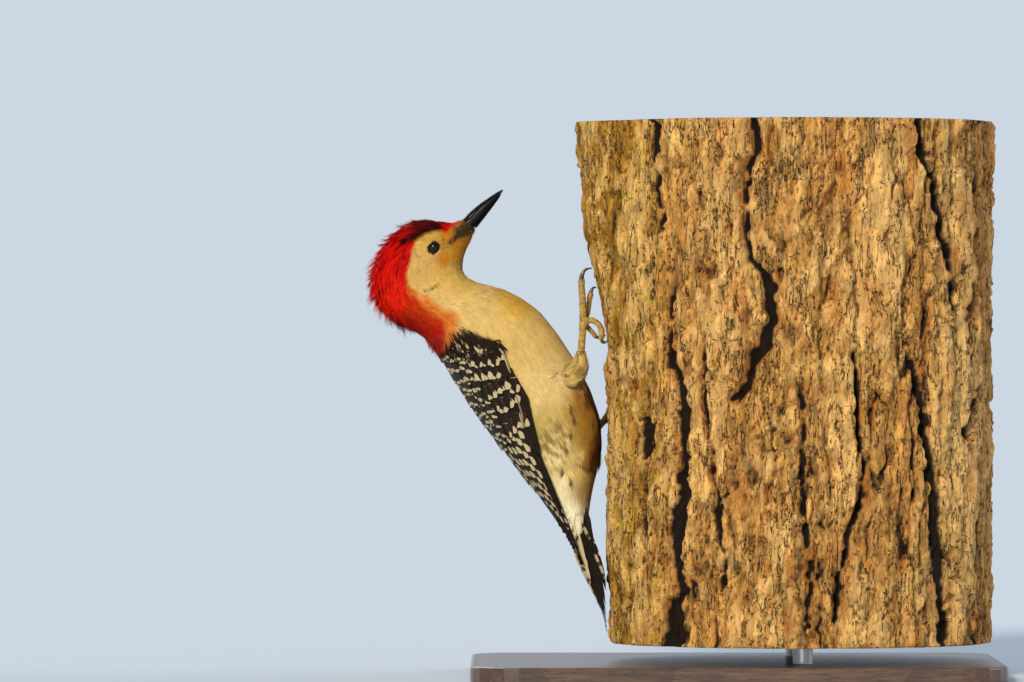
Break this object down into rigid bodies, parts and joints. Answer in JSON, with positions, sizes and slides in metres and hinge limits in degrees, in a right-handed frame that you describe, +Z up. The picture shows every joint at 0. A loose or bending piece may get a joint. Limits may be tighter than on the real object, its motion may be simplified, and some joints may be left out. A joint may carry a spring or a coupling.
{
  "type": "red-bellied woodpecker on a trunk",
  "caption": "Life-size male red-bellied woodpecker clinging to a short cut length of tree trunk, held on a flat display base.",
  "frame": {"origin": "centre of the underside of the stand's base", "axes": "+Z up, +X from the bird towards the trunk that it faces, -Y the bird's right side"},
  "size_m": [0.3136, 0.208, 0.277],
  "materials": {
    "red_plumage": "soft matt feathers, scarlet",
    "cream_plumage": "soft matt feathers, cream and tan",
    "barred_plumage": "smooth feathers, black-brown barred and spotted with white",
    "bill": "glossy blue-black horn",
    "eye": "glossy dark red-brown",
    "leg_skin": "scaly olive-tan skin",
    "claw": "dark grey horn",
    "bark": "rough plated bark with lichen, sawn ends",
    "base": "dark stained wood, satin varnish",
    "rod": "brushed steel"
  },
  "bodies": {
    "root": {"bill_lower": "bill", "bill_upper": "bill", "claw_left_1": "claw", "claw_left_2": "claw", "claw_left_3": "claw", "claw_left_4": "claw", "claw_right_1": "claw", "claw_right_2": "claw", "claw_right_3": "claw", "claw_right_4": "claw", "eye_left": "eye", "eye_right": "eye", "foot_left": "leg_skin", "foot_right": "leg_skin", "head": "red_plumage", "neck": "red_plumage", "perch_trunk": "bark", "stand_base": "base", "stand_rod_1": "rod", "stand_rod_2": "rod", "tail": "barred_plumage", "thigh_left": "cream_plumage", "thigh_right": "cream_plumage", "trunk": "cream_plumage", "wing_left": "barred_plumage", "wing_right": "barred_plumage"}
  },
  "joints": []
}
